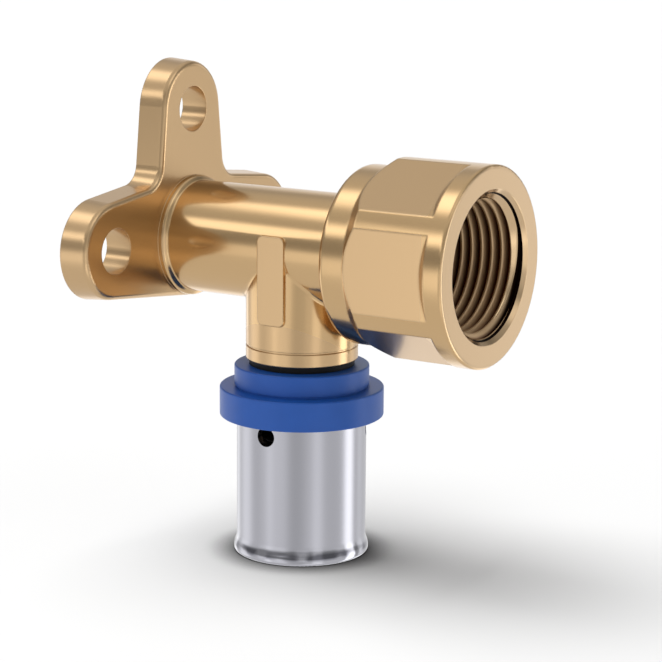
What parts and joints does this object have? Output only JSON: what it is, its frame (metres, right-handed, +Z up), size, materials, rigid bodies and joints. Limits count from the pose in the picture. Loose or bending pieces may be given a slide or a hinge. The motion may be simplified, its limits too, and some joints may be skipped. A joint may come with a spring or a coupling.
{
  "type": "wall plate elbow",
  "caption": "Gunmetal wall plate elbow with an eared plate, a hexagon socket with female pipe thread, and a press sleeve branch for multilayer pipe.",
  "frame": {"origin": "on the arm's axis, in the wall face of the plate", "axes": "-Y out of the wall along the arm to the threaded socket, -Z down the branch to the pipe, +Z up, X across the two side ears"},
  "size_m": [0.0528, 0.0553, 0.0722],
  "materials": {
    "gunmetal": "fine cast and turned gunmetal, satin",
    "stainless_steel": "drawn stainless steel tube, satin",
    "blue_plastic": "moulded blue polyamide, half gloss",
    "black_rubber": "black rubber seal"
  },
  "bodies": {
    "root": {"elbow_body": "gunmetal", "press_sleeve": "stainless_steel", "retaining_ring": "blue_plastic", "o_ring_upper": "black_rubber", "o_ring_lower": "black_rubber"}
  },
  "joints": []
}
